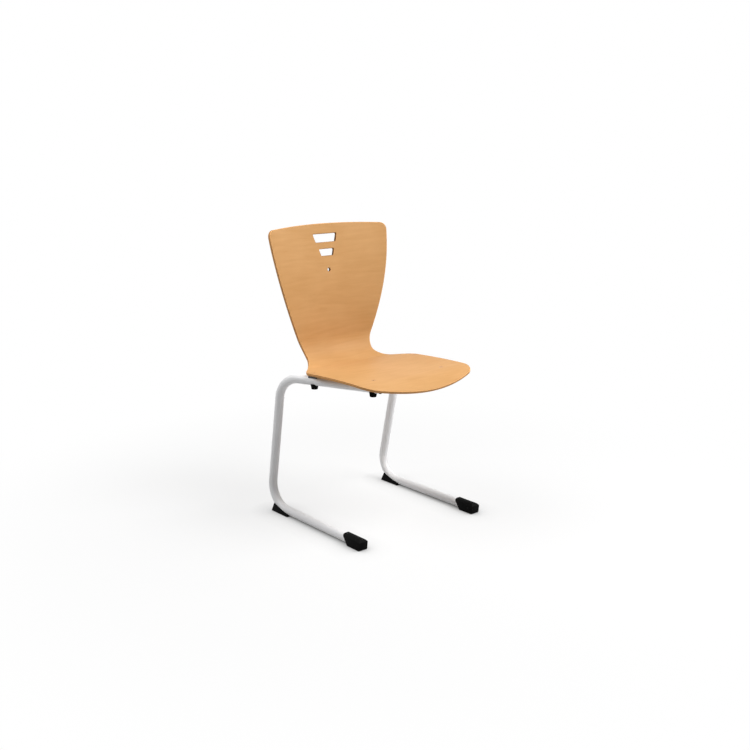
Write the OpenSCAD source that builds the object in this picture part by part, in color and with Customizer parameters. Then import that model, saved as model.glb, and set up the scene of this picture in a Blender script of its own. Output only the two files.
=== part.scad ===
// Preschool chair: one moulded plywood shell on two C-shaped tube frames.
// The sitter faces -Y and the sitter's left is +X. The origin lies on the floor,
// in the middle of the chair's width and depth.
// The shell is described by one line down its middle, which runs from the front
// edge over the seat and up the back, and by its width along that line.

/* [Plywood shell] */
// Thickness of the plywood
ply_t = 6; // [5:0.5:8]
// Height of the seat's crest above the floor, on the middle line
crest_h = 350; // [335:1:365]
// Width of the seat between its straight sides
seat_w = 318; // [300:0.5:340]
// Width of the waist between seat and back
waist_w = 192.4; // [165:0.2:225]
// Width of the back just above the waist, where its sides start to run straight
flare_w = 215; // [205:1:235]
// Width of the back at its top
back_w = 341.8; // [310:0.2:365]
// Length of the plywood from the crest of the seat to the bend
seat_l = 203.7; // [190:0.1:218]
// Radius of the front lip
lip_r = 162; // [150:0.1:185]
// Angle through which the front lip turns down
lip_turn = 27.5; // [22:0.5:30]
// Radius of the seat's slight fall towards the bend
seat_fall_r = 2380; // [1900:10:4000]
// Radius of the bend between seat and back
bend_r = 60; // [52:0.5:68]
// Lean of the back from upright where it leaves the bend
back_lean_low = 2; // [0:0.1:5]
// Lean of the back from upright at its top
back_lean_top = 12.1; // [10:0.1:16]
// Radius of the back's curve between those two leans
back_r = 1110; // [930:1:1350]
// Length of the plywood from the bend to the top corners
back_l = 251.6; // [238:0.2:280]
// Radius of the seat's dish from side to side
seat_dish_r = 3160; // [2300:10:4000]
// Radius of the back's hollow from side to side
back_hollow_r = 570; // [520:1:720]
// Length of plywood over which the dish turns into the hollow
hollow_blend = 73.8; // [62:0.1:105]

/* [Plywood outline] */
// Radius of the front corners
front_corner_r = 28; // [20:0.5:40]
// Radius of the front edge, seen from above
front_edge_r = 315; // [270:0.5:400]
// Radius of the top corners
top_corner_r = 17.5; // [8:0.5:25]
// Rise of the top edge in its middle
top_edge_rise = 8.9; // [5:0.1:13]
// Distance from the end of the seat's straight sides to the bend
side_setback = 52.4; // [47:0.1:67]
// Distance from the start of the bend to the waist
waist_reach = 47.1; // [36:0.1:52]
// Distance from the waist to where the back's sides run straight
flare_reach = 48.2; // [42:0.1:60]

/* [Hand holds] */
// Distance from the top edge to the upper hand hold, on the middle line
grip_margin = 24.2; // [21:0.1:32]
// Height of the upper hand hold
grip_h = 19.5; // [15:0.1:24]
// Width of the upper hand hold at its top
grip_top_w = 69.2; // [62:0.1:76]
// Width of the upper hand hold at its bottom
grip_low_w = 56.8; // [49:0.1:60]
// Strip of plywood between the two hand holds
grip_strip = 15.7; // [12:0.1:20]
// Height of the lower hand hold
slot_h = 16; // [12:0.5:20]
// Width of the lower hand hold at its top
slot_top_w = 43.8; // [37:0.1:48]
// Width of the lower hand hold at its bottom
slot_low_w = 34; // [29:0.5:37]
// Radius of the hand holds' corners
grip_corner_r = 2.5; // [1:0.1:4]
// Diameter of the small round hole below them
eye_d = 8; // [5:0.1:10]
// Distance from the lower hand hold to the middle of the round hole
eye_drop = 32.7; // [25:0.1:41]

/* [Tube frames] */
// Outer diameter of the frame tube
tube_d = 20; // [18:0.5:22]
// Wall of the frame tube
tube_wall = 2; // [1.5:0.1:2.5]
// Distance of the runners' middles outside the seat's straight sides
runner_outset = 9.5; // [2:0.05:17]
// Distance from the seat's crest back to the corner of runner and leg
heel_back = 297.2; // [284:0.2:310]
// Distance from the seat's crest forward to the front of the runner's cap
toe_front = 44.4; // [35:0.1:58]
// Radius of the bend between runner and leg, on the tube's middle line
low_bend_r = 50.7; // [46:0.1:57]
// Radius of the bend between leg and seat tube, on the tube's middle line
high_bend_r = 59; // [52:1:64]
// Distance along the seat tube from the rear screw to its corner with the leg
corner_reach = 89.8; // [84:0.1:98]
// Distance along the seat tube from the front screw to its open end
tip_reach = 18; // [14:1:20]

/* [Cross tubes] */
// Outer diameter of the cross tubes
cross_d = 14; // [12:0.5:15]
// Wall of the cross tubes
cross_wall = 1.5; // [1:0.1:2]
// Distance along the seat tube from the front screw back to the front cross tube
front_cross_reach = 24; // [21:1:34]
// Distance along the seat tube from the rear screw back to the rear cross tube
rear_cross_reach = 28; // [25:1:41]
// Drop of the cross tubes below the seat tubes, middle to middle
cross_drop = 3; // [2:0.5:4]

/* [Seat fastening] */
// Distance of the front screws in from the seat's straight sides
front_screw_inset = 60.3; // [53.2:0.05:66.2]
// Distance of the rear screws in from the seat's straight sides
rear_screw_inset = 12.2; // [9.8:0.05:17.2]
// Distance of the front screws behind the seat's crest
front_screw_back = 6.2; // [3:0.2:20]
// Distance of the rear screws in front of the bend between seat and back
rear_screw_lead = 53.7; // [51.7:0.1:68.7]
// Thread diameter of the seat screws
screw_d = 5; // [4:1:6]
// Diameter of their countersunk heads
head_d = 10; // [9:0.5:11]
// Length of the seat screws, heads included
screw_l = 33.5; // [33:0.5:34.5]
// Width of their lock nuts across flats
nut_af = 8; // [7:0.5:10]
// Height of their lock nuts
nut_h = 5; // [4:0.5:6]
// Thickness of the saddles between plywood and tube
saddle_t = 1.5; // [1.2:0.1:2.2]
// Length of the saddles along the tube
saddle_l = 22; // [20:1:28]
// Width of the saddles across the tube
saddle_w = 17; // [15:0.5:19]

/* [Buffers, glides and plugs] */
// Diameter of the stacking buffers where they meet the tube
buffer_top_d = 18; // [16:0.5:19]
// Diameter of the stacking buffers at their foot
buffer_low_d = 14.5; // [12.5:0.5:15.5]
// Height of the stacking buffers below the tube
buffer_h = 8.3; // [7.9:0.1:12]
// Height of the tubes above the floor, which is the sole of every glide
sole_t = 1.9; // [1:0.1:3]
// Length of the front caps, along their top
cap_l = 60.3; // [55:0.1:70]
// Wall of the front caps round the tube
cap_wall = 3.3; // [2.6:0.1:3.6]
// Width of the glides' soles
glide_w = 22.8; // [21.8:0.1:24.2]
// Distance by which a front cap's sole is shorter than its top at the back
cap_undercut = 18.1; // [14:0.1:24]
// Distance by which a front cap's sole lies behind its front face
cap_tuck = 2; // [0.5:0.1:4]
// Length of the rear glides' soles
heel_l = 61; // [55:0.5:68]
// Distance from the back of a rear glide's sole to the corner of runner and leg
heel_inset = 16.8; // [15.5:0.1:22]
// Height of the rear glides at their back
heel_h = 20.9; // [18:0.1:23]
// Height of the rear glides at their front
heel_tip_h = 6; // [4:0.5:8]
// Slope of the rear glides' back, as the distance by which it leans forward
heel_lean = 11; // [5:0.1:12]
// Length of a plug's stem or a cap's spigot inside the tube
stem_l = 14; // [10:0.5:18]

/* [Glide screws] */
// Thread diameter of the screws that hold the rear glides
pin_d = 3.5; // [3:0.5:4]
// Diameter of their heads
pin_head_d = 7; // [6:0.5:8]
// Height of their heads
pin_head_h = 2; // [1.5:0.1:2.5]
// Length of the screws, heads included
pin_l = 14; // [11:0.5:16]
// Depth by which the heads lie sunk in the soles
pin_sink = 0.8; // [0.5:0.1:1.2]
// Distance of the screws from the back of the soles
pin_forward = 22; // [19:0.5:26]

/* [Hidden] */
$fn = 64;

// Clearances
seat_gap = 0.2;         // between plywood and saddle, or plywood and screw head
weld_gap = 0.05;        // between a cross tube's end and the tube it is welded to
fit_gap = 0.1;          // between a moulding and the tube it is pushed on
nut_gap = 0.1;          // between a nut and its thread or its pocket
hole_gap = 0.25;        // round a screw in its hole
overrun = 1;            // by which a cut runs past the surface that it opens
bend_thinning = 0.02;   // by which the radius of the tube is smaller in its bends
bend_lap = 0.8;         // by which its straight stretches run over the bends' ends

// Shape of the outline between the seat's sides and the waist, as a station that
// is a share of the way along, with its share of the width and its slope
turn_place_share = 0.584;
turn_width_share = 0.411;
turn_slope_share = -0.88;
// Slope of the back's sides where they start to run straight, and at the top
flare_slope_share = 0.424;
top_slope_share = 0.045;

// Shapes of the small parts, as shares of their main sizes
saddle_hug_share = 0.3;     // of the tube's radius, by which a saddle reaches down round it
head_rim_share = 0.04;      // of a screw head's diameter, the height of its rim
socket_width_share = 0.6;   // of a screw's thread, the width of its socket across flats
socket_depth_share = 0.4;   // of a screw's thread, the depth of its socket
buffer_hug_share = 0.35;    // of the tube's radius, by which a buffer reaches up round it
buffer_foot_share = 0.12;   // of a buffer's foot, the radius of its edge
cap_chamfer_share = 0.5;    // of a cap's radius, the chamfer of its front
cap_edge_share = 0.2;       // of a cap's radius, the radius of its edges
heel_sag_share = 0.02;      // of a rear glide's height, the sag of its upper edge

// Number of steps in the plywood's mesh
across_steps = 20;
corner_steps = 6;
seat_steps = 15;
turn_steps = 26;
back_steps = 17;

tube_r = tube_d / 2;
bore_r = tube_r - tube_wall;
cross_r = cross_d / 2;
axis_drop = ply_t + seat_gap + saddle_t + tube_r;

// Lengths along the plywood's middle line, from the front edge
lip_l = lip_r * lip_turn * PI / 180;
bend_at = lip_l + seat_l;
seat_turn = seat_l / seat_fall_r * 180 / PI;
bend_turn = 90 - back_lean_low + seat_turn;
curve_at = bend_at + bend_r * bend_turn * PI / 180;
straight_at = curve_at + back_r * (back_lean_top - back_lean_low) * PI / 180;
top_at = curve_at + back_l;
waist_at = bend_at + waist_reach;
flare_at = waist_at + flare_reach;

// A direction along the middle line, given its angle above the horizontal, and
// the direction square to it that points to the sitter
function along(a) = [cos(a), sin(a)];
function inward(a) = [-sin(a), cos(a)];
function unit(v) = v / norm(v);
function mix(a, b, t) = a + (b - a) * t;
function smooth(t) = let (c = min(1, max(0, t))) c * c * (3 - 2 * c);

// Ends of the middle line's stretches, as [y, z] from the crest
seat_end = seat_fall_r * (inward(-seat_turn) - inward(0));
bend_mid = seat_end + bend_r * inward(-seat_turn);
bend_end = bend_mid - bend_r * inward(90 - back_lean_low);
curve_mid = bend_end - back_r * inward(90 - back_lean_low);
curve_end = curve_mid + back_r * inward(90 - back_lean_top);

// The middle line at length s from the front edge, as [y from the crest, z from
// the crest, angle above the horizontal]
function arc_point(mid, r, a) = concat(mid + r * inward(a), [a]);
function middle(s) =
    s < lip_l ? arc_point([0, -lip_r], lip_r, (lip_l - s) / lip_r * 180 / PI) :
    s < bend_at ? arc_point([0, -seat_fall_r], seat_fall_r, -(s - lip_l) / seat_fall_r * 180 / PI) :
    s < curve_at ? arc_point(bend_mid, -bend_r, (s - bend_at) / bend_r * 180 / PI - seat_turn) :
    s < straight_at ?
        arc_point(curve_mid, back_r, 90 - back_lean_low - (s - curve_at) / back_r * 180 / PI) :
    concat(curve_end + (s - straight_at) * along(90 - back_lean_top), [90 - back_lean_top]);

// Place of the crest along Y, so that the origin is in the middle of the depth
front_y = middle(0)[0];
top_back = curve_end + (top_at + top_edge_rise - straight_at) * along(90 - back_lean_top)
    - ply_t * inward(90 - back_lean_top);
crest_y = -(front_y + top_back[0]) / 2;

// The sitter's face of the plywood, at x from the middle and length s
function hollow(s) = mix(1 / seat_dish_r, 1 / back_hollow_r, smooth((s - bend_at) / hollow_blend));
function face(x, s) = let (m = middle(s), p = inward(m[2]) * hollow(s) * x * x / 2)
    [x, crest_y + m[0] + p[0], crest_h + m[1] + p[1]];
function outward(x, s) = let (d = ply_t / 10)
    unit(cross(face(x + d, s) - face(x - d, s), face(x, s + d) - face(x, s - d)));
function inside(x, s, depth) = face(x, s) - depth * outward(x, s);

// Half the plywood's width at length s, as a smooth curve through stations of
// [length, half width, slope]
stations = [
    [bend_at - side_setback, seat_w / 2, 0],
    [bend_at - side_setback + turn_place_share * (side_setback + waist_reach),
        mix(waist_w, seat_w, turn_width_share) / 2, turn_slope_share],
    [waist_at, waist_w / 2, 0],
    [flare_at, flare_w / 2, flare_slope_share],
    [top_at, back_w / 2, top_slope_share]];
function curve(a, b, s) = let (h = b[0] - a[0], t = (s - a[0]) / h)
    a[1] * (1 + 2 * t) * (1 - t) * (1 - t) + b[1] * t * t * (3 - 2 * t)
    + h * (a[2] * t * (1 - t) * (1 - t) - b[2] * t * t * (1 - t));
function half_width(s, i = 0) =
    s < stations[0][0] ? stations[0][1] :
    s <= stations[i + 1][0] || i + 2 == len(stations) ? curve(stations[i], stations[i + 1], s) :
    half_width(s, i + 1);

// Rows of the mesh, as [half width, length at the middle]; the first and last
// rows go round the corners
front_half = seat_w / 2 - front_corner_r;
top_start = top_at - top_corner_r;
top_half = half_width(top_start) - top_corner_r;
turn_start = bend_at - side_setback;
function steps(a, b, n) = [for (i = [1:n]) mix(a, b, i / n)];
rows = concat(
    [for (i = [0:corner_steps]) let (a = 90 * (1 - i / corner_steps))
        [front_half + front_corner_r * cos(a), front_corner_r * (1 - sin(a))]],
    [for (s = steps(front_corner_r, turn_start, seat_steps)) [half_width(s), s]],
    [for (s = steps(turn_start, flare_at, turn_steps)) [half_width(s), s]],
    [for (s = steps(flare_at, top_start, back_steps)) [half_width(s), s]],
    [for (i = [1:corner_steps]) let (a = 90 * i / corner_steps)
        [top_half + top_corner_r * cos(a), top_start + top_corner_r * sin(a)]]);

// The rows bow with the front edge, less and less until the straight sides end,
// and with the top edge above the flare
function front_bow(x, s) = x * x / 2 / front_edge_r
    * min(1, max(0, (turn_start - s) / (turn_start - front_corner_r)));
function top_bow(u, s) = top_edge_rise * (1 - u * u) * smooth((s - flare_at) / (top_at - flare_at));
function mesh_point(row, j, depth) = let (u = 2 * j / across_steps - 1, x = u * row[0])
    inside(x, row[1] + front_bow(x, row[1]) + top_bow(u, row[1]), depth);

module shell_blank() {
    n = across_steps + 1;
    last = len(rows) - 1;
    back = n * len(rows);
    points = [for (depth = [0, ply_t], row = rows, j = [0:across_steps]) mesh_point(row, j, depth)];
    cells = [for (i = [0:last - 1], j = [0:across_steps - 1]) i * n + j];
    sides = [for (i = [0:last - 1]) i * n];
    ends = [for (j = [0:across_steps - 1]) j];
    polyhedron(points, concat(
        [for (c = cells) each [[c, c + n, c + n + 1], [c, c + n + 1, c + 1]]],
        [for (c = cells) each [[back + c, back + c + n + 1, back + c + n],
            [back + c, back + c + 1, back + c + n + 1]]],
        [for (c = sides) each [[c, back + c, back + c + n], [c, back + c + n, c + n]]],
        [for (c = sides) let (e = c + across_steps)
            each [[e, e + n, back + e + n], [e, back + e + n, back + e]]],
        [for (c = ends) each [[c, c + 1, back + c + 1], [c, back + c + 1, back + c]]],
        [for (c = ends) let (e = last * n + c)
            each [[e, back + e, back + e + 1], [e, back + e + 1, e + 1]]]));
}

// Corners of an outline rounded with a radius
function rounded(p, r, n = 5) = let (m = len(p))
    [for (i = [0:m - 1]) let (
        b = p[i],
        u = unit(p[(i + m - 1) % m] - b),
        w = unit(p[(i + 1) % m] - b),
        half = acos(u * w) / 2,
        mid = b + unit(u + w) * r / sin(half),
        start = b + u * r / tan(half) - mid,
        from = atan2(start[1], start[0]),
        turn = 180 - 2 * half,
        way = sign(cross(w, u)))
        for (k = [0:n]) mid + r * [cos(from + way * turn * k / n), sin(from + way * turn * k / n)]];

// Puts things on the plywood's middle line at length s, with +Z to the sitter
// and +Y up the back
module on_middle(s) {
    translate(face(0, s)) rotate([middle(s)[2], 0, 0]) children();
}
module grip_cut(top, h, top_w, low_w) {
    outline = [[-top_w / 2, h / 2], [top_w / 2, h / 2], [low_w / 2, -h / 2], [-low_w / 2, -h / 2]];
    on_middle(top - h / 2) translate([0, 0, -ply_t - overrun])
        linear_extrude(ply_t + 2 * overrun) polygon(rounded(outline, grip_corner_r));
}
grip_at = top_at + top_edge_rise - grip_margin;
slot_at = grip_at - grip_h - grip_strip;
eye_at = slot_at - slot_h - eye_drop;

module plywood_shell() {
    color("burlywood") difference() {
        shell_blank();
        grip_cut(grip_at, grip_h, grip_top_w, grip_low_w);
        grip_cut(slot_at, slot_h, slot_top_w, slot_low_w);
        on_middle(eye_at) translate([0, 0, -ply_t - overrun])
            cylinder(d = eye_d, h = ply_t + 2 * overrun);
        for (m = [0, 1], spot = spots) mirror([m, 0, 0]) at_spot(spot) screw_space();
    }
}

// Screw places on the left half, as [x, length along the middle line]
front_spot = [seat_w / 2 - front_screw_inset, lip_l + front_screw_back];
rear_spot = [seat_w / 2 - rear_screw_inset, bend_at - rear_screw_lead];
spots = [front_spot, rear_spot];

// The left seat tube runs through the points under the two screws
front_axis = inside(front_spot[0], front_spot[1], axis_drop);
rear_axis = inside(rear_spot[0], rear_spot[1], axis_drop);
forward = unit(front_axis - rear_axis);
high_corner = rear_axis - corner_reach * forward;
tube_tip = front_axis + tip_reach * forward;

// The left leg runs from there to the back of the runner
runner_x = seat_w / 2 + runner_outset;
runner_z = sole_t + tube_r;
low_corner = [runner_x, crest_y + heel_back, runner_z];
cap_front = crest_y - toe_front;
runner_tip = [runner_x, cap_front + 2 * cap_wall, runner_z];

// Puts things on a screw's place: +Z is square to the plywood, +Y along the tube,
// and the sitter's face of the plywood is at zero
module at_spot(spot) {
    z = outward(spot[0], spot[1]);
    y = unit(forward - z * (forward * z));
    x = cross(y, z);
    p = face(spot[0], spot[1]);
    multmatrix([[x[0], y[0], z[0], p[0]], [x[1], y[1], z[1], p[1]], [x[2], y[2], z[2], p[2]]])
        children();
}

// A straight rod between two points
module rod(a, b, r) {
    z = unit(b - a);
    translate(a) rotate([0, acos(z[2]), atan2(z[1], z[0])]) cylinder(r = r, h = norm(b - a));
}
// A quarter or less of a ring, which rounds the corner b between a and c
function corner_half(a, b, c) = acos(unit(a - b) * unit(c - b)) / 2;
function corner_run(a, b, c, bend) = bend / tan(corner_half(a, b, c));
module elbow(a, b, c, bend, r) {
    half = corner_half(a, b, c);
    start = b + unit(a - b) * bend / tan(half);
    mid = b + unit(unit(a - b) + unit(c - b)) * bend / sin(half);
    x = unit(start - mid);
    z = unit(cross(b - a, c - b));
    y = cross(z, x);
    multmatrix([[x[0], y[0], z[0], mid[0]], [x[1], y[1], z[1], mid[1]], [x[2], y[2], z[2], mid[2]]])
        rotate_extrude(angle = 180 - 2 * half) translate([bend, 0]) circle(r = r);
}

low_run = corner_run(runner_tip, low_corner, high_corner, low_bend_r);
high_run = corner_run(low_corner, high_corner, tube_tip, high_bend_r);
up_leg = unit(high_corner - low_corner);

// The left C: runner, leg and seat tube with the bends between them, as one
// solid of radius r whose two ends run on by extra. Bending has thinned the tube
// a little, and the straight stretches lap over the ends of the bends.
module c_run(r, extra = 0) {
    rod(runner_tip - [0, extra, 0], low_corner - (low_run - bend_lap) * unit(low_corner - runner_tip), r);
    elbow(runner_tip, low_corner, high_corner, low_bend_r, r - bend_thinning);
    rod(low_corner + (low_run - bend_lap) * up_leg, high_corner - (high_run - bend_lap) * up_leg, r);
    elbow(low_corner, high_corner, tube_tip, high_bend_r, r - bend_thinning);
    rod(high_corner + (high_run - bend_lap) * forward, tube_tip + extra * forward, r);
}
module side_frame() {
    color("gainsboro") difference() {
        c_run(tube_r);
        c_run(bore_r, overrun);
        for (spot = spots) at_spot(spot) translate([0, 0, -axis_drop - tube_d])
            cylinder(d = screw_d + 2 * hole_gap, h = 2 * tube_d);
        glide_screw_place() translate([0, 0, -overrun])
            cylinder(d = pin_d + 2 * hole_gap, h = pin_l + 2 * overrun);
    }
}
module left_side_frame() side_frame();
module right_side_frame() mirror([1, 0, 0]) side_frame();

// A cross tube between the seat tubes, its ends shaped to the tubes
module cross_tube(middle_point) {
    a = middle_point - [0, 0, cross_drop];
    b = [-a[0], a[1], a[2]];
    color("gainsboro") difference() {
        rod(a, b, cross_r);
        rod(a + [overrun, 0, 0], b - [overrun, 0, 0], cross_r - cross_wall);
        for (m = [0, 1]) mirror([m, 0, 0]) rod(high_corner, tube_tip + overrun * forward, tube_r + weld_gap);
    }
}
module front_cross_tube() cross_tube(front_axis - front_cross_reach * forward);
module rear_cross_tube() cross_tube(rear_axis - rear_cross_reach * forward);

// Saddle between the plywood and the round tube
saddle_hug = tube_r * saddle_hug_share;
module saddle(spot) {
    color("dimgray") difference() {
        at_spot(spot) translate([-saddle_w / 2, -saddle_l / 2, -ply_t - seat_gap - saddle_t - saddle_hug])
            cube([saddle_w, saddle_l, saddle_t + saddle_hug]);
        rod(high_corner, tube_tip, tube_r + fit_gap / 2);
        at_spot(spot) translate([0, 0, -axis_drop]) cylinder(d = screw_d + 2 * hole_gap, h = axis_drop);
    }
}
module front_left_saddle() saddle(front_spot);
module front_right_saddle() mirror([1, 0, 0]) saddle(front_spot);
module rear_left_saddle() saddle(rear_spot);
module rear_right_saddle() mirror([1, 0, 0]) saddle(rear_spot);

// Countersunk screw with a hexagon socket, from the sitter's side
cone_h = (head_d - screw_d) / 2;
rim_h = head_d * head_rim_share;
socket_af = screw_d * socket_width_share;
socket_h = screw_d * socket_depth_share;
module screw() {
    color("peru") translate([0, 0, -seat_gap]) difference() {
        union() {
            translate([0, 0, -rim_h]) cylinder(d = head_d, h = rim_h);
            translate([0, 0, -rim_h - cone_h]) cylinder(d1 = screw_d, d2 = head_d, h = cone_h);
            translate([0, 0, -screw_l]) cylinder(d = screw_d, h = screw_l - rim_h - cone_h);
        }
        translate([0, 0, -socket_h]) cylinder(d = socket_af / cos(30), h = socket_h + overrun, $fn = 6);
    }
}
module screw_space() {
    mouth_d = head_d + 2 * hole_gap;
    shank_d = screw_d + 2 * hole_gap;
    translate([0, 0, -ply_t - overrun]) cylinder(d = shank_d, h = ply_t + 2 * overrun);
    translate([0, 0, -rim_h - seat_gap]) cylinder(d = mouth_d, h = rim_h + seat_gap + overrun);
    translate([0, 0, -rim_h - seat_gap - cone_h]) cylinder(d1 = shank_d, d2 = mouth_d, h = cone_h);
}
module seat_screws() {
    for (m = [0, 1], spot = spots) mirror([m, 0, 0]) at_spot(spot) screw();
}

// Lock nut under the tube
nut_top = axis_drop + tube_r + nut_gap;
module seat_nuts() {
    for (m = [0, 1], spot = spots) color("silver") mirror([m, 0, 0]) at_spot(spot)
        translate([0, 0, -nut_top - nut_h]) difference() {
            cylinder(d = nut_af / cos(30), h = nut_h, $fn = 6);
            translate([0, 0, -overrun]) cylinder(d = screw_d + 2 * nut_gap, h = nut_h + 2 * overrun);
        }
}

// Rubber buffer over the nut: a cone with a rounded foot, hollowed to the tube
buffer_hug = tube_r * buffer_hug_share;
foot_r = buffer_low_d * buffer_foot_share;
module buffer(spot) {
    high = buffer_h + buffer_hug;
    taper_d = mix(buffer_low_d, buffer_top_d, foot_r / high);
    foot = [for (a = [-90:15:0]) [taper_d / 2 - foot_r + foot_r * cos(a), foot_r + foot_r * sin(a)]];
    color("black") difference() {
        at_spot(spot) translate([0, 0, -axis_drop - tube_r - buffer_h])
            rotate_extrude() polygon(concat([[0, 0]], foot, [[buffer_top_d / 2, high], [0, high]]));
        rod(high_corner, tube_tip, tube_r + fit_gap);
        at_spot(spot) {
            translate([0, 0, -nut_top - nut_h - nut_gap])
                cylinder(d = (nut_af + 2 * nut_gap) / cos(30), h = nut_h + tube_r, $fn = 6);
            translate([0, 0, -screw_l - 2 * seat_gap]) cylinder(d = screw_d + 2 * hole_gap, h = screw_l);
        }
    }
}
module front_left_buffer() buffer(front_spot);
module front_right_buffer() mirror([1, 0, 0]) buffer(front_spot);
module rear_left_buffer() buffer(rear_spot);
module rear_right_buffer() mirror([1, 0, 0]) buffer(rear_spot);

// Black cap on the front of a runner: a sleeve with a flat sole and a spigot
cap_r = tube_r + cap_wall;
cap_top = runner_z + cap_r;
cap_chamfer = cap_r * cap_chamfer_share;
cap_edge_r = cap_r * cap_edge_share;
module front_cap() {
    // Seen from the side: y from the front face, z from the floor
    outline = [[cap_tuck, 0], [cap_l - cap_undercut, 0], [cap_l, cap_top], [cap_chamfer, cap_top],
        [0, cap_top - cap_chamfer]];
    color("black") difference() {
        intersection() {
            translate([runner_x - glide_w, cap_front, 0]) rotate([90, 0, 90])
                linear_extrude(2 * glide_w) polygon(rounded(outline, cap_edge_r));
            translate([runner_x, cap_front - overrun, 0]) rotate([-90, 0, 0])
                linear_extrude(cap_l + 2 * overrun) {
                    translate([0, -runner_z]) circle(r = cap_r);
                    translate([-glide_w / 2, -runner_z]) square([glide_w, runner_z]);
                }
        }
        difference() {
            rod(runner_tip - [0, fit_gap, 0], low_corner, tube_r + fit_gap);
            rod(runner_tip - [0, fit_gap + overrun, 0], runner_tip + [0, stem_l, 0], bore_r - fit_gap);
        }
    }
}
module left_front_cap() front_cap();
module right_front_cap() mirror([1, 0, 0]) front_cap();

// Black glide under the bend at the back of a runner, hollowed to the tube
heel_back_y = low_corner[1] - heel_inset;
heel_sag = heel_h * heel_sag_share;
module rear_glide() {
    // Seen from the side: y from the back of the sole, z from the floor. The
    // upper edge sags between its two ends, as the bend above it does.
    upper = [for (t = [0:0.125:1])
        [mix(-heel_lean, -heel_l, t), mix(heel_h, heel_tip_h, t) - 4 * heel_sag * t * (1 - t)]];
    color("black") difference() {
        translate([runner_x - glide_w / 2, heel_back_y, 0]) rotate([90, 0, 90])
            linear_extrude(glide_w) polygon(concat([[-heel_l, 0], [0, 0]], upper));
        c_run(tube_r + fit_gap);
        glide_screw_place() {
            cylinder(d = pin_d + 2 * hole_gap, h = pin_l);
            translate([0, 0, -heel_h]) cylinder(d = pin_head_d + 2 * hole_gap, h = heel_h + pin_head_h);
        }
    }
}
module left_rear_glide() rear_glide();
module right_rear_glide() mirror([1, 0, 0]) rear_glide();

// Self-tapping screw that holds a rear glide, sunk in its sole
module glide_screw_place() {
    translate([runner_x, heel_back_y - pin_forward, pin_sink]) children();
}
module glide_screws() {
    for (m = [0, 1]) color("silver") mirror([m, 0, 0]) glide_screw_place() {
        cylinder(d = pin_head_d, h = pin_head_h);
        cylinder(d = pin_d, h = pin_l);
    }
}

// Plug in the open end of a seat tube
plug_head_t = tube_wall;
module tube_plug() {
    color("black") {
        rod(tube_tip + fit_gap * forward, tube_tip + (fit_gap + plug_head_t) * forward, tube_r);
        rod(tube_tip - stem_l * forward, tube_tip + (fit_gap + plug_head_t / 2) * forward, bore_r - fit_gap);
    }
}
module left_tube_plug() tube_plug();
module right_tube_plug() mirror([1, 0, 0]) tube_plug();

plywood_shell();
left_side_frame();
right_side_frame();
front_cross_tube();
rear_cross_tube();
left_front_cap();
right_front_cap();
left_rear_glide();
right_rear_glide();
left_tube_plug();
right_tube_plug();
front_left_saddle();
front_right_saddle();
rear_left_saddle();
rear_right_saddle();
front_left_buffer();
front_right_buffer();
rear_left_buffer();
rear_right_buffer();
seat_screws();
seat_nuts();
glide_screws();
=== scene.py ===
# %% [markdown]
# # A preschool chair
#
# The chair is one moulded plywood shell on two C-shaped tubes, with black caps,
# glides and buffers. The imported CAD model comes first, as a fixed frame: every
# piece below goes where that frame says. The sitter faces -Y, the sitter's left
# is +X, and the floor is at zero.

# %% Load the frame
import math

import bmesh
import bpy
import numpy as np
from mathutils import Matrix, Vector
from mathutils.geometry import delaunay_2d_cdt


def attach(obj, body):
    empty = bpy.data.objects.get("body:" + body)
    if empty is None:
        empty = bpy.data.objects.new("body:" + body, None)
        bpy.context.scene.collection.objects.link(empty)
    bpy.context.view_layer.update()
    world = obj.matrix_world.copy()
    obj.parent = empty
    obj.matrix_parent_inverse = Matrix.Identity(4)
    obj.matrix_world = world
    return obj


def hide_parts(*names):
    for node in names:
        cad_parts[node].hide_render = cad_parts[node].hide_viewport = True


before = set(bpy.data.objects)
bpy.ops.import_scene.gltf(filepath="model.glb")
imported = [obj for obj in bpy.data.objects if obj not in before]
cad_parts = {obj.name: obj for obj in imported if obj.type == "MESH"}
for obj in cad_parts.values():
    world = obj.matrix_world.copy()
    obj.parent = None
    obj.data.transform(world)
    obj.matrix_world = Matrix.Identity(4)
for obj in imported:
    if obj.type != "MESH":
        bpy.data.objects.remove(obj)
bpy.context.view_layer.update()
MM = 0.001

# %% [markdown]
# ## Camera
#
# A photograph is matched before anything is modelled. The lens and the place
# come from the two runners, which are parallel on the real chair, and from the
# shell's symmetry.

# %% Camera
def new_object(name, data):
    """A new object in the scene, with that mesh, camera or lamp."""
    obj = bpy.data.objects.new(name, data)
    bpy.context.scene.collection.objects.link(obj)
    return obj


camera = new_object("camera", bpy.data.cameras.new("camera"))
camera.data.lens = 50.1
camera.data.sensor_width = 36
camera.location = (-1.4832, -1.7570, 0.8760)
camera.rotation_euler = (math.radians(90 - 13.42), 0, math.radians(-40.18))
bpy.context.scene.camera = camera
print("camera at", [round(v, 3) for v in camera.location])

# %% [markdown]
# ## Helpers for nodes
#
# Shader trees and geometry trees are built the same way, so one small function
# adds a node, its settings and its links for both.

# %% Nodes, materials and meshes
def add(tree, kind, links=None, **settings):
    """Adds a node. links maps an input's name or number to a value or to another node's output."""
    made = tree.nodes.new(kind)
    for name, value in settings.items():
        setattr(made, name, value)
    for key, value in (links or {}).items():
        if isinstance(value, bpy.types.NodeSocket):
            tree.links.new(value, made.inputs[key])
        else:
            made.inputs[key].default_value = value
    return made


def linear(code):
    """The linear colour, with alpha, of an sRGB hex code such as "#E8B078"."""
    parts = [int(code[i:i + 2], 16) / 255 for i in (1, 3, 5)]
    return tuple(c / 12.92 if c <= 0.04045 else ((c + 0.055) / 1.055) ** 2.4 for c in parts) + (1.0,)


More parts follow.
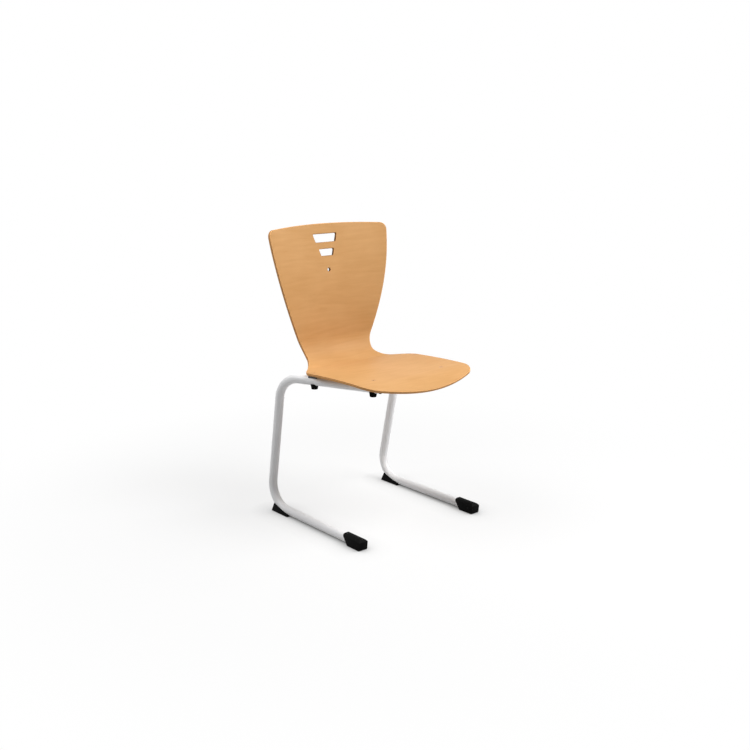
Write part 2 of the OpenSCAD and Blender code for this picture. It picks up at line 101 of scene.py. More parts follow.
def empty_tree(owner):
    """The node tree of that material or world, with nothing in it."""
    owner.use_nodes = True
    owner.node_tree.nodes.clear()
    return owner.node_tree


def new_material(name, **surface):
    """A material with a principled surface whose own sockets take the values given."""
    material = bpy.data.materials.new(name)
    tree = empty_tree(material)
    shader = add(tree, "ShaderNodeBsdfPrincipled", {key.replace("_", " "): value for key, value in
        surface.items()})
    add(tree, "ShaderNodeOutputMaterial", {"Surface": shader.outputs["BSDF"]})
    return material, tree, shader


def mesh_of(name, points, edges=(), faces=()):
    mesh = bpy.data.meshes.new(name)
    mesh.from_pydata([tuple(p) for p in points], edges, faces)
    return mesh


print("helpers ready")

# %% [markdown]
# ## Beech veneer
#
# The shell's faces are beech veneer, peeled from the log, pressed and lacquered.
# Beech shows no bold rings: it has a soft, slightly blotchy ground and short
# darker flecks, a few millimetres long, along the grain. Here the grain runs
# across the chair. The pattern reads the shell's own map, in metres across and
# along the plywood, so that it follows the bend instead of cutting through it.

# %% Beech veneer
GRAIN_BAND = 9 * MM      # width of the soft bands along the grain
BAND_STRETCH = 0.12      # a band's width over its length
FLECK_L = 7 * MM         # length of a fleck, drawn about twice as long as real
FLECK_W = 1.1 * MM       # width of a fleck, coarser than real so that it shows

beech, tree, shader = new_material("beech_veneer_lacquered", Roughness=0.5, IOR=1.5,
    Specular_IOR_Level=0.1)
veneer_map = add(tree, "ShaderNodeUVMap", uv_map="veneer").outputs["UV"]
bands = add(tree, "ShaderNodeMapping", {"Vector": veneer_map, "Scale": (BAND_STRETCH / GRAIN_BAND,
    1 / GRAIN_BAND, 1)})
ground = add(tree, "ShaderNodeTexNoise", {"Vector": bands.outputs[0], "Scale": 1.0, "Detail": 4.0,
    "Roughness": 0.55, "Distortion": 0.4})
cloud = add(tree, "ShaderNodeTexNoise", {"Vector": veneer_map, "Scale": 9.0, "Detail": 2.0})
tone = add(tree, "ShaderNodeMath", {0: ground.outputs["Fac"], 1: cloud.outputs["Fac"]}, operation="ADD")
wood = add(tree, "ShaderNodeValToRGB", {"Fac": add(tree, "ShaderNodeMath", {0: tone.outputs[0], 1: 0.5},
    operation="MULTIPLY").outputs[0]})
wood.color_ramp.elements[0].position = 0.36
wood.color_ramp.elements[0].color = linear("#CD9B63")
wood.color_ramp.elements[1].position = 0.64
wood.color_ramp.elements[1].color = linear("#D6A56F")
dashes = add(tree, "ShaderNodeMapping", {"Vector": veneer_map, "Scale": (1 / FLECK_L, 1 / FLECK_W, 1)})
fleck = add(tree, "ShaderNodeTexNoise", {"Vector": dashes.outputs[0], "Scale": 1.0, "Detail": 1.0})
fleck_mask = add(tree, "ShaderNodeMapRange", {"Value": fleck.outputs["Fac"], "From Min": 0.6,
    "From Max": 0.72, "To Max": 0.1})
grained = add(tree, "ShaderNodeMix", {"Factor": fleck_mask.outputs[0], "A": wood.outputs["Color"],
    "B": linear("#B97E3C")}, data_type="RGBA")
tree.links.new(grained.outputs[2], shader.inputs["Base Color"])
relief = add(tree, "ShaderNodeBump", {"Strength": 0.08, "Distance": 0.1 * MM,
    "Height": ground.outputs["Fac"]})
tree.links.new(relief.outputs[0], shader.inputs["Normal"])
print("beech veneer: flecks", FLECK_L / MM, "mm")

# %% [markdown]
# ## Plywood edge
#
# Sanded plywood shows its layers at the edge: the layers that run along the edge
# look light and those cut across their grain look brown, because end grain
# drinks the lacquer. The stripes read an attribute that holds the depth below
# the sitter's face, so they follow the edge all the way round. Inside the hand
# holds and the round hole the same layers are painted darker, as painted shade
# on walls that the lamps hardly reach.

# %% Plywood edge
PLY_T = 6 * MM
PLIES = 5


def plywood_edge(name, light, dark):
    """Layered edge wood; light and dark are each the two close colours of a layer's grain."""
    material, tree, shader = new_material(name, Roughness=0.65, IOR=1.4, Specular_IOR_Level=0.1)
    depth = add(tree, "ShaderNodeAttribute", attribute_name="depth").outputs["Fac"]
    layer = add(tree, "ShaderNodeMath", {0: depth, 1: math.pi * PLIES / PLY_T}, operation="MULTIPLY")
    odd = add(tree, "ShaderNodeMath", {0: layer.outputs[0], 1: 2 * math.pi}, operation="MODULO")
    cross_ply = add(tree, "ShaderNodeMath", {0: odd.outputs[0], 1: math.pi}, operation="GREATER_THAN")
    pores = add(tree, "ShaderNodeTexNoise", {"Vector": add(tree, "ShaderNodeTexCoord").outputs["Object"],
        "Scale": 700.0, "Detail": 2.0})
    light_ply, dark_ply = [add(tree, "ShaderNodeMix", {"Factor": pores.outputs["Fac"], "A": linear(a),
        "B": linear(b)}, data_type="RGBA") for a, b in (light, dark)]
    layers = add(tree, "ShaderNodeMix", {"Factor": cross_ply.outputs[0], "A": light_ply.outputs[2],
        "B": dark_ply.outputs[2]}, data_type="RGBA")
    tree.links.new(layers.outputs[2], shader.inputs["Base Color"])
    return material


edge_wood = plywood_edge("beech_plywood_edge_sanded", ("#DEA569", "#EDB87D"), ("#A26D41", "#C0864E"))
# Walls of the hand holds and the round hole: the same layers painted darker, as painted shade.
hole_edge_painted_shade = plywood_edge("beech_plywood_edge_painted_shade", ("#85582D", "#916236"), ("#5A391C", "#6E4825"))
print("plywood edge:", PLIES, "plies in", PLY_T / MM, "mm")

# %% [markdown]
# ## Powder coat, plastic, rubber and steel
#
# Powder is baked on the tubes and flows into a smooth film with a faint orange
# peel a millimetre or two across. The caps and glides are moulded in black
# plastic from a lightly spark-eroded tool, so they carry a fine even grain. The
# buffers are rubber, which is duller. The seat screws are lacquered brown to
# match the wood, and the hidden screws and nuts are zinc plated.

# %% A finish with a fine even relief
def finish(name, color, second, grain, relief_height, strength, **surface):
    """A material of two close colours, with a fine grain of that size and height, in metres."""
    material, tree, shader = new_material(name, **surface)
    place = add(tree, "ShaderNodeTexCoord").outputs["Object"]
    grain_noise = add(tree, "ShaderNodeTexNoise", {"Vector": place, "Scale": 1 / grain, "Detail": 2.0})
    soft_noise = add(tree, "ShaderNodeTexNoise", {"Vector": place, "Scale": 14.0, "Detail": 3.0})
    mixed = add(tree, "ShaderNodeMix", {"Factor": soft_noise.outputs["Fac"], "A": linear(color),
        "B": linear(second)}, data_type="RGBA")
    tree.links.new(mixed.outputs[2], shader.inputs["Base Color"])
    bump = add(tree, "ShaderNodeBump", {"Strength": strength, "Distance": relief_height,
        "Height": grain_noise.outputs["Fac"]})
    tree.links.new(bump.outputs[0], shader.inputs["Normal"])
    return material


powder_coat = finish("powder_coated_steel", "#F0F0F1", "#F4F4F5", 1.6 * MM, 0.02 * MM, 0.25,
    Roughness=0.33, IOR=1.45)
moulded_black = finish("moulded_black_polypropylene", "#040404", "#070707", 0.5 * MM, 0.03 * MM, 0.3,
    Roughness=0.6, IOR=1.49, Specular_IOR_Level=0.05)
black_rubber = finish("black_rubber", "#060606", "#0A0A0A", 0.7 * MM, 0.03 * MM, 0.3, Roughness=0.8,
    IOR=1.52, Specular_IOR_Level=0.05)
grey_pad = finish("grey_polyethylene_pad", "#3A3A3B", "#454546", 0.8 * MM, 0.02 * MM, 0.2, Roughness=0.55,
    IOR=1.5)
brown_lacquer = finish("brown_lacquered_steel", "#C28F60", "#CB9969", 1.0 * MM, 0.01 * MM, 0.2,
    Roughness=0.45, IOR=1.5)
zinc_plate = finish("zinc_plated_steel", "#B9BCC0", "#C6C8CA", 0.9 * MM, 0.01 * MM, 0.2, Metallic=1.0,
    Roughness=0.3)
print("finishes:", [m.name for m in bpy.data.materials])

# %% [markdown]
# ## The line down the middle of the shell
#
# The plywood bends in one direction almost everywhere, so its shape is one line
# down the middle, from the front lip over the seat and up the back, and a
# shallow hollow across it. The line is made of arcs and a straight end, exactly
# as in the CAD source, with the same sizes in metres.

# %% The middle line
CREST_H = 350 * MM
LIP_R, LIP_TURN = 162 * MM, math.radians(27.5)
SEAT_L, SEAT_FALL_R = 203.7 * MM, 2380 * MM
BEND_R = 60 * MM
LEAN_LOW, LEAN_TOP = math.radians(2), math.radians(12.1)
BACK_R, BACK_L = 1110 * MM, 251.6 * MM
TOP_RISE = 8.9 * MM

LIP_L = LIP_R * LIP_TURN
BEND_AT = LIP_L + SEAT_L
SEAT_TURN = SEAT_L / SEAT_FALL_R
CURVE_AT = BEND_AT + BEND_R * (math.pi / 2 - LEAN_LOW + SEAT_TURN)
STRAIGHT_AT = CURVE_AT + BACK_R * (LEAN_TOP - LEAN_LOW)
TOP_AT = CURVE_AT + BACK_L


def along(a):
    return np.array([math.cos(a), math.sin(a)])


def inward(a):
    return np.array([-math.sin(a), math.cos(a)])


SEAT_END = SEAT_FALL_R * (inward(-SEAT_TURN) - inward(0))
BEND_MID = SEAT_END + BEND_R * inward(-SEAT_TURN)
CURVE_MID = BEND_MID - (BEND_R + BACK_R) * inward(math.pi / 2 - LEAN_LOW)
CURVE_END = CURVE_MID + BACK_R * inward(math.pi / 2 - LEAN_TOP)


def middle(s):
    """(y, z) from the crest and the angle above the horizontal, at length s from the front edge."""
    if s < LIP_L:
        a = (LIP_L - s) / LIP_R
        return np.array([0, -LIP_R]) + LIP_R * inward(a), a
    if s < BEND_AT:
        a = -(s - LIP_L) / SEAT_FALL_R
        return np.array([0, -SEAT_FALL_R]) + SEAT_FALL_R * inward(a), a
    if s < CURVE_AT:
        a = (s - BEND_AT) / BEND_R - SEAT_TURN
        return BEND_MID - BEND_R * inward(a), a
    if s < STRAIGHT_AT:
        a = math.pi / 2 - LEAN_LOW - (s - CURVE_AT) / BACK_R
        return CURVE_MID + BACK_R * inward(a), a
    a = math.pi / 2 - LEAN_TOP
    return CURVE_END + (s - STRAIGHT_AT) * along(a), a


TOP_BACK = middle(TOP_AT + TOP_RISE)[0] - PLY_T * inward(math.pi / 2 - LEAN_TOP)
CREST_Y = -(middle(0)[0][0] + TOP_BACK[0]) / 2
print("crest at y", round(CREST_Y / MM, 2), "mm; plywood", round(TOP_AT / MM, 1), "mm long")

# %% [markdown]
# ## The sitter's face
#
# Across the middle line the face is a shallow parabola: a flat dish on the seat
# that deepens into the hollow of the back. One function gives a point of the
# face, and a second its normal, so that thickness and shading are exact.

# %% The sitter's face
DISH_R, HOLLOW_R, HOLLOW_BLEND = 3160 * MM, 570 * MM, 73.8 * MM


def smooth(t):
    c = min(1.0, max(0.0, t))
    return c * c * (3 - 2 * c)


def face(x, s):
    """A point of the sitter's face, x from the middle and s along the middle line."""
    point, a = middle(s)
    hollow = 1 / DISH_R + (1 / HOLLOW_R - 1 / DISH_R) * smooth((s - BEND_AT) / HOLLOW_BLEND)
    y, z = point + inward(a) * hollow * x * x / 2
    return np.array([x, CREST_Y + y, CREST_H + z])


def surface_axes(x, s, step=PLY_T / 10):
    """Unit vectors across, along and out of the face at that place."""
    across = face(x + step, s) - face(x - step, s)
    up = face(x, s + step) - face(x, s - step)
    across, up = across / np.linalg.norm(across), up / np.linalg.norm(up)
    out = np.cross(across, up)
    return across, up, out / np.linalg.norm(out)


def inside(x, s, below):
    return face(x, s) - below * surface_axes(x, s)[2]


print("face at the crest:", (face(0, LIP_L) / MM).round(1))

# %% [markdown]
# ## The outline
#
# The blank is cut by a smooth line: straight sides at the seat, a narrow waist,
# sides that flare up the back, rounded corners, and bowed front and top edges.
# It is drawn flat, as the blank is before pressing, in x and s.

# %% The outline of the shell
SEAT_W, WAIST_W, FLARE_W, BACK_W = 318 * MM, 192.4 * MM, 215 * MM, 341.8 * MM
FRONT_CORNER_R, TOP_CORNER_R, FRONT_EDGE_R = 28 * MM, 17.5 * MM, 315 * MM
SIDE_SETBACK, WAIST_REACH, FLARE_REACH = 52.4 * MM, 47.1 * MM, 48.2 * MM
TURN_START = BEND_AT - SIDE_SETBACK
WAIST_AT = BEND_AT + WAIST_REACH
FLARE_AT = WAIST_AT + FLARE_REACH
STATIONS = [(TURN_START, SEAT_W / 2, 0.0),    # place along the line, half width, slope
            (TURN_START + 0.584 * (SIDE_SETBACK + WAIST_REACH),
             (WAIST_W + 0.411 * (SEAT_W - WAIST_W)) / 2, -0.88),
            (WAIST_AT, WAIST_W / 2, 0.0),
            (FLARE_AT, FLARE_W / 2, 0.424),
            (TOP_AT, BACK_W / 2, 0.045)]


def half_width(s):
    """Half the blank's width: a smooth curve through the stations."""
    if s < TURN_START:
        return SEAT_W / 2
    for (s0, w0, k0), (s1, w1, k1) in zip(STATIONS, STATIONS[1:]):
        if s <= s1 or s1 == TOP_AT:
            h, t = s1 - s0, (s - s0) / (s1 - s0)
            return (w0 * (1 + 2 * t) * (1 - t) ** 2 + w1 * t * t * (3 - 2 * t)
                    + h * (k0 * t * (1 - t) ** 2 - k1 * t * t * (1 - t)))


def front_bow(x, s):
    fade = min(1.0, max(0.0, (TURN_START - s) / (TURN_START - FRONT_CORNER_R)))
    return x * x / 2 / FRONT_EDGE_R * fade


def half_outline():
    """The right half of the outline, from the middle of the front to the middle of the top."""
    front_half = SEAT_W / 2 - FRONT_CORNER_R
    top_start = TOP_AT - TOP_CORNER_R
    top_half = half_width(top_start) - TOP_CORNER_R
    line = [(x, front_bow(x, 0)) for x in np.linspace(0, front_half, 80)]
    for a in np.linspace(math.pi / 2, 0, 40)[1:]:
        x, s = front_half + FRONT_CORNER_R * math.cos(a), FRONT_CORNER_R * (1 - math.sin(a))
        line.append((x, s + front_bow(x, s)))
    for s in np.linspace(FRONT_CORNER_R, top_start, 500)[1:]:
        line.append((half_width(s), s + front_bow(half_width(s), s)))
    for a in np.linspace(0, math.pi / 2, 30)[1:]:
        line.append((top_half + TOP_CORNER_R * math.cos(a), top_start + TOP_CORNER_R * math.sin(a)))
    for u in np.linspace(1, 0, 80)[1:]:
        line.append((u * top_half, TOP_AT + TOP_RISE * (1 - u * u)))
    return np.array(line)


def spaced(points, step):
    """A closed line through points, with its new points evenly spaced."""
    closed = np.vstack([points, points[:1]])
    run = np.concatenate([[0], np.cumsum(np.linalg.norm(np.diff(closed, axis=0), axis=1))])
    places = np.linspace(0, run[-1], round(run[-1] / step), endpoint=False)
    return np.column_stack([np.interp(places, run, closed[:, k]) for k in (0, 1)])


RIM_STEP = 2.5 * MM    # from point to point along a rim
right_half = half_outline()
left_half = right_half[1:-1][::-1] * [-1, 1]
outline = spaced(np.vstack([right_half, left_half]), RIM_STEP)
print("outline:", len(outline), "points; widest", round(outline[:, 0].max() * 2 / MM, 1), "mm")

# %% [markdown]
# ## The openings in the shell
#
# Two hand holds and a small round hole are cut through the back, and four screws
# pass the seat in countersunk holes. Each is a closed line in the same flat
# drawing. They run the other way round than the outline, so that the wood is
# always on the left of the line.

# %% Hand holds, round hole and screw holes
def rounded(corners, r, steps=7):
    """Those corners, listed clockwise, rounded with radius r."""
    made = []
    for before, at, after in zip(np.roll(corners, 1, axis=0), corners, np.roll(corners, -1, axis=0)):
        u = (before - at) / np.linalg.norm(before - at)
        w = (after - at) / np.linalg.norm(after - at)
        half = math.acos(u @ w) / 2
        centre = at + (u + w) / np.linalg.norm(u + w) * r / math.sin(half)
        start = at + u * r / math.tan(half) - centre
        first = math.atan2(start[1], start[0])
        turn = math.pi - 2 * half
        made += [centre + r * along(first - turn * k / steps) for k in range(steps + 1)]
    return np.array(made)


def hand_hold(top, h, top_w, low_w, r=2.5 * MM):
    corners = np.array([[-top_w / 2, top], [top_w / 2, top], [low_w / 2, top - h], [-low_w / 2, top - h]])
    loop = rounded(corners, r)
    made = []
    for a, b in zip(loop, np.roll(loop, -1, axis=0)):
        pieces = max(1, round(np.linalg.norm(b - a) / RIM_STEP))
        made += [a + (b - a) * k / pieces for k in range(pieces)]
    return np.array(made)


def round_hole(x, s, r, count):
    turns = -np.arange(count) * 2 * math.pi / count
    return np.column_stack([x + r * np.cos(turns), s + r * np.sin(turns)])


GRIP = (19.5 * MM, 69.2 * MM, 56.8 * MM)    # height, width at the top and at the bottom
SLOT = (16 * MM, 43.8 * MM, 34 * MM)
EYE_R = 4 * MM
GRIP_AT = TOP_AT + TOP_RISE - 24.2 * MM
SLOT_AT = GRIP_AT - GRIP[0] - 15.7 * MM
EYE_AT = SLOT_AT - SLOT[0] - 32.7 * MM
holds = [hand_hold(GRIP_AT, *GRIP), hand_hold(SLOT_AT, *SLOT)]
eye = round_hole(0, EYE_AT, EYE_R, 32)

FRONT_SPOT = (98.7 * MM, LIP_L + 6.2 * MM)
REAR_SPOT = (146.8 * MM, LIP_L + 150 * MM)
spots = [(side * x, s) for side in (1, -1) for x, s in (FRONT_SPOT, REAR_SPOT)]
SCREW_D, HEAD_D, HEAD_RIM, GAP, SUNK = 5 * MM, 10 * MM, 0.4 * MM, 0.25 * MM, 0.2 * MM
mouth_r, shank_r = HEAD_D / 2 + GAP, SCREW_D / 2 + GAP
screw_mouths = [round_hole(x, s, mouth_r, 32) for x, s in spots]
print("hand holds at", round(GRIP_AT / MM, 1), "and", round(SLOT_AT / MM, 1), "mm;", len(spots), "screws")

# %% [markdown]
# ## Edges with a profile
#
# A mesh from a drawing is filled on both faces and closed by walls. The walls
# carry the profile of the real edge: sanded round with a small radius on the
# outline and in the hand holds, and countersunk at the screws. A profile is a
# list of stretches, each from one (inset, depth, slope of its normal) to the
# next, so that a sharp corner and a round one are both shaded right.

# %% Edge profiles
EDGE_R = 1.5 * MM
HOLE_EDGE_R = 0.7 * MM


def round_edge(r, steps=4):
    """From the sitter's face round the edge to the other face."""
    turns = [math.pi / 2 * k / steps for k in range(steps + 1)]
    front = [(r * (1 - math.sin(a)), r * (1 - math.cos(a)), a) for a in turns]
    back = [(i, PLY_T - d, math.pi - a) for i, d, a in reversed(front)]
    points = front + back
    return list(zip(points, points[1:]))


CONE_H = mouth_r - shank_r
rim_depth = HEAD_RIM + SUNK
countersink = [((0, 0, math.pi / 2), (0, rim_depth, math.pi / 2)),
               ((0, rim_depth, math.pi / 4), (-CONE_H, rim_depth + CONE_H, math.pi / 4)),
               ((-CONE_H, rim_depth + CONE_H, math.pi / 2), (-CONE_H, PLY_T, math.pi / 2))]
SANDED, HOLE_SHADE = 1, 2    # slots of the shell's materials
loops = [(outline, round_edge(EDGE_R), SANDED)]
# The walls of the hand holds and the round hole get the edge wood painted darker, as painted shade.
loops += [(loop, round_edge(HOLE_EDGE_R), HOLE_SHADE) for loop in holds + [eye]]
loops += [(loop, countersink, SANDED) for loop in screw_mouths]
print("profiles:", len(loops), "loops")

# %% [markdown]
# ## Filling the faces
#
# A regular grid of points, about 4 mm apart, fills each face, and a constrained
# triangulation joins it to the loops. Triangles outside the wood are dropped.

# %% Filling a drawing with triangles
GRID, CLEAR = 4 * MM, 0.45    # CLEAR is how far the grid stays off the loops, in cells


def in_loop(points, loop):
    """Which points lie inside the closed line."""
    x, y = points[:, 0][:, None], points[:, 1][:, None]
    ax, ay = loop[:, 0], loop[:, 1]
    bx, by = np.roll(ax, -1), np.roll(ay, -1)
    crosses = (ay > y) != (by > y)
    with np.errstate(divide="ignore", invalid="ignore"):
        at = ax + (y - ay) * (bx - ax) / (by - ay)
    return (crosses & (x < at)).sum(axis=1) % 2 == 1


def in_wood(points, lines):
    kept = in_loop(points, lines[0])
    for hole in lines[1:]:
        kept &= ~in_loop(points, hole)
    return kept


def filled(lines):
    """(points, triangles) inside the first line and outside the others; the lines' points come first."""
    rows = np.arange(lines[0][:, 1].min(), lines[0][:, 1].max(), GRID)
    reach = math.ceil(BACK_W / 2 / GRID)
    columns = np.arange(-reach, reach + 1) * GRID
    grid = np.array([(x, s) for s in rows for x in columns])
    grid = grid[in_wood(grid, lines)]
    rim = np.vstack(lines)
    clear = np.array([np.min(np.hypot(*(rim - p).T)) for p in grid]) > CLEAR * GRID
    points = np.vstack([rim, grid[clear]])
    joins, start = [], 0
    for line in lines:
        joins += [(start + i, start + (i + 1) % len(line)) for i in range(len(line))]
        start += len(line)
    _, _, triangles, origin, _, _ = delaunay_2d_cdt([Vector(p / MM) for p in points], joins, [], 0, 1e-6)
    triangles = np.array([[origin[i][0] for i in t] for t in triangles])
    triangles = triangles[in_wood(points[triangles].mean(axis=1), lines)]
    a, b, c = (points[triangles[:, k]] for k in range(3))
    turned = (b[:, 0] - a[:, 0]) * (c[:, 1] - a[:, 1]) - (b[:, 1] - a[:, 1]) * (c[:, 0] - a[:, 0]) < 0
    triangles[turned] = triangles[turned][:, ::-1]
    return points, triangles


def inset_line(line, distance):
    """The closed line moved into the wood by that distance."""
    tangent = np.roll(line, -1, axis=0) - np.roll(line, 1, axis=0)
    tangent /= np.linalg.norm(tangent, axis=1)[:, None]
    outward = np.column_stack([tangent[:, 1], -tangent[:, 0]])
    return line - distance * outward, outward


front_lines = [inset_line(line, profile[0][0][0])[0] for line, profile, _ in loops]
back_lines = [inset_line(line, profile[-1][1][0])[0] for line, profile, _ in loops]
front_fill, back_fill = filled(front_lines), filled(back_lines)
print("faces:", len(front_fill[1]), "and", len(back_fill[1]), "triangles")

# %% [markdown]
# ## The shell as one closed mesh
#
# The two fillings and the walls are put together. Each corner of each face gets
# its exact normal, worked out from the surface, so the plywood shades as the
# smooth pressed sheet that it is.

# %% Building the shell
class Sheet:
    """Collects corners and faces of the shell with normals, map places and depths."""

    def __init__(self):
        self.points, self.depths, self.faces = [], [], []
        self.normals, self.places, self.slots = [], [], []

    def point(self, x, s, below):
        self.points.append(inside(x, s, below))
        self.depths.append(below)
        return len(self.points) - 1

    def face(self, corners, normals, places, slot):
        self.faces.append(corners)
        self.normals += normals
        self.places += places
        self.slots.append(slot)


def add_filling(sheet, filling, below, flip):
    points, triangles = filling
    first = len(sheet.points)
    normals = []
    for x, s in points:
        sheet.point(x, s, below)
        normals.append(surface_axes(x, s)[2] * (-1 if flip else 1))
    for triangle in triangles:
        order = triangle[::-1] if flip else triangle
        sheet.face([first + i for i in order], [normals[i] for i in order],
                   [tuple(points[i]) for i in order], 0)
    return first


def add_wall(sheet, line, profile, slot, front_first, back_first):
    """The wall of one loop; its first and last rings are the rims of the two fillings."""
    count = len(line)
    outward = inset_line(line, 0)[1]
    axes = [surface_axes(x, s) for x, s in line]
    edge_out = [o[0] * a[0] + o[1] * a[1] for o, a in zip(outward, axes)]
    rings = {profile[0][0][:2]: front_first, profile[-1][1][:2]: back_first}
    for start, end in profile:
        for inset, below, _ in (start, end):
            if (inset, below) not in rings:
                rings[inset, below] = len(sheet.points)
                for x, s in line - inset * outward:
                    sheet.point(x, s, below)
        a, b = rings[start[:2]], rings[end[:2]]
        for i in range(count):
            j = (i + 1) % count

            def normal(k, slope):
                return math.cos(slope) * axes[k][2] + math.sin(slope) * edge_out[k]

            corners = ((i, start), (i, end), (j, end), (j, start))
            sheet.face([a + i, b + i, b + j, a + j], [normal(k, point[2]) for k, point in corners],
                       [tuple(line[k]) for k, _ in corners], slot)


sheet = Sheet()
front_first = add_filling(sheet, front_fill, 0.0, False)
back_first = add_filling(sheet, back_fill, PLY_T, True)
for line, profile, slot in loops:
    add_wall(sheet, line, profile, slot, front_first, back_first)
    front_first += len(line)
    back_first += len(line)

shell_mesh = mesh_of("pressed_shell", sheet.points, faces=sheet.faces)
shell_mesh.polygons.foreach_set("use_smooth", [True] * len(sheet.faces))
shell_mesh.polygons.foreach_set("material_index", sheet.slots)
shell_mesh.uv_layers.new(name="veneer").data.foreach_set("uv", np.array(sheet.places, dtype=float).ravel())
shell_mesh.attributes.new("depth", "FLOAT", "POINT").data.foreach_set("value", sheet.depths)
for material in (beech, edge_wood, hole_edge_painted_shade):
    shell_mesh.materials.append(material)
shell_mesh.normals_split_custom_set([tuple(n) for n in sheet.normals])
shell = new_object("pressed_shell", shell_mesh)
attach(shell, "root")
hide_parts("plywood_shell")
check = bmesh.new()
check.from_mesh(shell_mesh)
print("shell:", len(shell_mesh.polygons), "faces, with open edges:",
      sum(not e.is_manifold for e in check.edges), "and cm3:", round(check.calc_volume() * 1e6, 1))
check.free()

# %% [markdown]
# ## Where the tubes run
#
# Each side frame is one tube, bent twice. Its path is four points: the runner's
# tip, the corner of runner and leg, the corner of leg and seat tube, and the
# seat tube's open end. The seat tube lies under the two screws of its side, so
# its line is worked out from them.

# %% Path of the tubes
TUBE_D, CROSS_D = 20 * MM, 14 * MM
LOW_BEND_R, HIGH_BEND_R = 50.7 * MM, 59 * MM
SADDLE_T, SADDLE_GAP = 1.5 * MM, 0.2 * MM
RUNNER_X, SOLE_T, TIP_INSET = 168.5 * MM, 1.9 * MM, 6 * MM
HEEL_BACK, TOE_FRONT = 297.2 * MM, 44.4 * MM    # from the crest to the lower corner and the caps
HIGH_REACH, TIP_REACH = 89.8 * MM, 18 * MM      # from the screws to the upper corner and the open end
axis_drop = PLY_T + SADDLE_GAP + SADDLE_T + TUBE_D / 2
front_axis, rear_axis = (inside(x, s, axis_drop) for x, s in (FRONT_SPOT, REAR_SPOT))
forward = (front_axis - rear_axis) / np.linalg.norm(front_axis - rear_axis)
runner_z = SOLE_T + TUBE_D / 2
low_corner = np.array([RUNNER_X, CREST_Y + HEEL_BACK, runner_z])
high_corner = rear_axis - HIGH_REACH * forward
tube_tip = front_axis + TIP_REACH * forward
cap_front = CREST_Y - TOE_FRONT
runner_tip = np.array([RUNNER_X, cap_front + TIP_INSET, runner_z])
path = [runner_tip, low_corner, high_corner, tube_tip]
print("tube path, mm:", [(p / MM).round(1).tolist() for p in path])

# %% [markdown]
# ## A tree that bends a tube
#
# Geometry Nodes do what the bending machine does: the path's corners are
# rounded, each with its own radius, and a round section is swept along. The same
# tree makes the side frames and the straight cross tubes.

# %% The tube bending tree
bending = bpy.data.node_groups.new("bent_tube", "GeometryNodeTree")
for name, kind, value in (("Path", "NodeSocketGeometry", None),
                          ("Tube diameter", "NodeSocketFloat", TUBE_D),
                          ("First bend radius", "NodeSocketFloat", LOW_BEND_R),
                          ("Second bend radius", "NodeSocketFloat", HIGH_BEND_R),
                          ("Bend steps", "NodeSocketInt", 40), ("Round steps", "NodeSocketInt", 56),
                          ("Finish", "NodeSocketMaterial", None)):
    socket = bending.interface.new_socket(name, in_out="INPUT", socket_type=kind)
    if value is not None:
        socket.default_value = value
bending.interface.new_socket("Tube", in_out="OUTPUT", socket_type="NodeSocketGeometry")
given = add(bending, "NodeGroupInput").outputs
line = add(bending, "GeometryNodeMeshToCurve", {"Mesh": given["Path"]})
corner = add(bending, "GeometryNodeInputIndex").outputs[0]
second = add(bending, "FunctionNodeCompare", {"A": corner, "B": 1.5}, data_type="FLOAT",
    operation="GREATER_THAN")
radius = add(bending, "GeometryNodeSwitch", {"Switch": second.outputs[0],
    "False": given["First bend radius"], "True": given["Second bend radius"]}, input_type="FLOAT")
bent = add(bending, "GeometryNodeFilletCurve", {"Curve": line.outputs[0], "Count": given["Bend steps"],
    "Radius": radius.outputs[0], "Limit Radius": True}, mode="POLY")
half_d = add(bending, "ShaderNodeMath", {0: given["Tube diameter"], 1: 0.5}, operation="MULTIPLY")
section = add(bending, "GeometryNodeCurvePrimitiveCircle", {"Resolution": given["Round steps"],
    "Radius": half_d.outputs[0]})
swept = add(bending, "GeometryNodeCurveToMesh", {"Curve": bent.outputs[0],
    "Profile Curve": section.outputs[0], "Fill Caps": True})
coated = add(bending, "GeometryNodeSetMaterial", {"Geometry": swept.outputs[0],
    "Material": given["Finish"]})
whole = add(bending, "GeometryNodeRealizeInstances", {"Geometry": coated.outputs[0]})
add(bending, "NodeGroupOutput", {"Tube": whole.outputs[0]})
print("tree:", bending.name, len(bending.nodes), "nodes")


# %% Running a tree and keeping its result
CREASE = math.radians(35)


def apply_modifiers(obj):
    """Turns what the modifiers show into the object's own mesh."""
    obj.data = bpy.data.meshes.new_from_object(obj.evaluated_get(bpy.context.evaluated_depsgraph_get()))
    obj.modifiers.clear()


def shade(mesh):
    """Smooth shading that keeps bends of more than CREASE sharp."""
    mesh.polygons.foreach_set("use_smooth", [True] * len(mesh.polygons))
    mesh.set_sharp_from_angle(angle=CREASE)


def settle(name, start_mesh, tree, **inputs):
    """An object whose mesh the tree makes of start_mesh; inputs are the tree's, with _ for a space."""
    obj = new_object(name, start_mesh)
    modifier = obj.modifiers.new("make", "NODES")
    modifier.node_group = tree
    keys = {item.name: item.identifier for item in tree.interface.items_tree if item.item_type == "SOCKET"}
    for key, value in inputs.items():
        modifier[keys[key.replace("_", " ")]] = value
    apply_modifiers(obj)
    shade(obj.data)
    return obj


def bend_tube(name, points, diameter=TUBE_D):
    line = mesh_of(name, points, [(i, i + 1) for i in range(len(points) - 1)])
    obj = settle(name, line, bending, Tube_diameter=diameter, Finish=powder_coat)
    return obj


SIDES = (("left", 1), ("right", -1))


def on_side(points, sign):
    """The points for that side: as they are for the left, mirrored for the right."""
    return [np.array(p) * [sign, 1, 1] for p in points]


for side, sign in SIDES:
    tube = bend_tube(side + "_bent_tube", on_side(path, sign))
    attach(tube, "root")
    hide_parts(side + "_side_frame")
    print(tube.name, len(tube.data.polygons), "faces")

# %% [markdown]
# ## Cross tubes
#
# Two thinner tubes join the frames under the seat. On the real chair their ends
# are sawn to a hollow and welded all round, so here they run into the seat tubes
# and a small ring of weld bead covers the joint.

